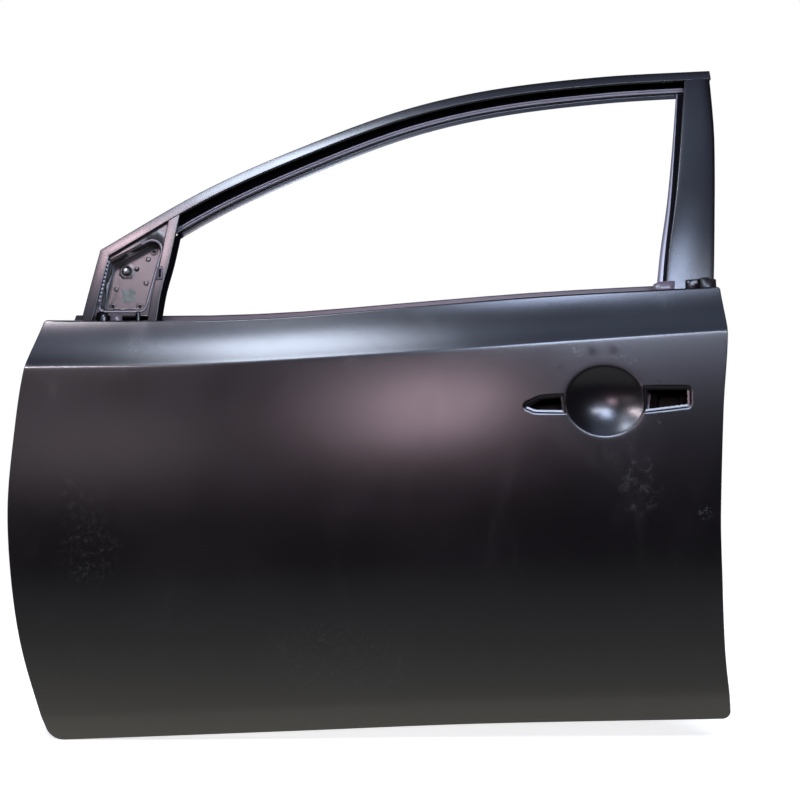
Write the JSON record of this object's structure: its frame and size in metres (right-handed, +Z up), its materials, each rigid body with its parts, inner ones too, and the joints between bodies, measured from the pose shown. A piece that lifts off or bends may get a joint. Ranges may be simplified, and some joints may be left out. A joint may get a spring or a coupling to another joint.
{
  "type": "car door shell",
  "caption": "Bare pressed steel front car door shell in dark primer, with its window frame, mirror mounting, handle seat and service openings.",
  "frame": {"origin": "middle of the upper hinge face, on the outside of the door's hinge wall", "axes": "+X from the hinge wall rearwards to the latch wall, +Y from the outer panel inwards to the cabin, +Z up"},
  "size_m": [1.1385, 0.2145, 1.0966],
  "materials": {
    "black_primer": "semi-gloss dark electro-dip primer",
    "plated_steel": "plated"
  },
  "bodies": {
    "root": {"outer_panel": "black_primer", "inner_panel": "black_primer", "header_sash": "black_primer", "header_run_channel": "black_primer", "pillar_cover": "black_primer", "rear_run_channel": "black_primer", "division_bar": "black_primer", "front_run_channel": "black_primer", "mirror_frame": "black_primer", "mirror_plate": "black_primer", "mirror_foot_bracket": "black_primer", "outer_belt_reinforcement": "black_primer", "inner_belt_reinforcement": "black_primer", "side_impact_beam": "black_primer", "front_beam_bracket": "black_primer", "rear_beam_bracket": "black_primer", "upper_hinge_reinforcement": "black_primer", "lower_hinge_reinforcement": "black_primer", "check_reinforcement": "black_primer", "latch_reinforcement": "black_primer", "handle_reinforcement": "black_primer", "front_run_upper_bracket": "black_primer", "front_run_foot_bracket": "black_primer", "rear_run_upper_bracket": "black_primer", "rear_run_foot_bracket": "black_primer", "front_leg_bracket": "black_primer", "pillar_bracket": "black_primer", "mirror_stud": "plated_steel", "mirror_nut_front": "plated_steel", "mirror_nut_rear": "plated_steel", "mirror_nut_top": "plated_steel", "upper_hinge_nut_bottom": "plated_steel", "upper_hinge_nut_top": "plated_steel", "lower_hinge_nut_bottom": "plated_steel", "lower_hinge_nut_top": "plated_steel", "check_nut_bottom": "plated_steel", "check_nut_top": "plated_steel"}
  },
  "joints": []
}
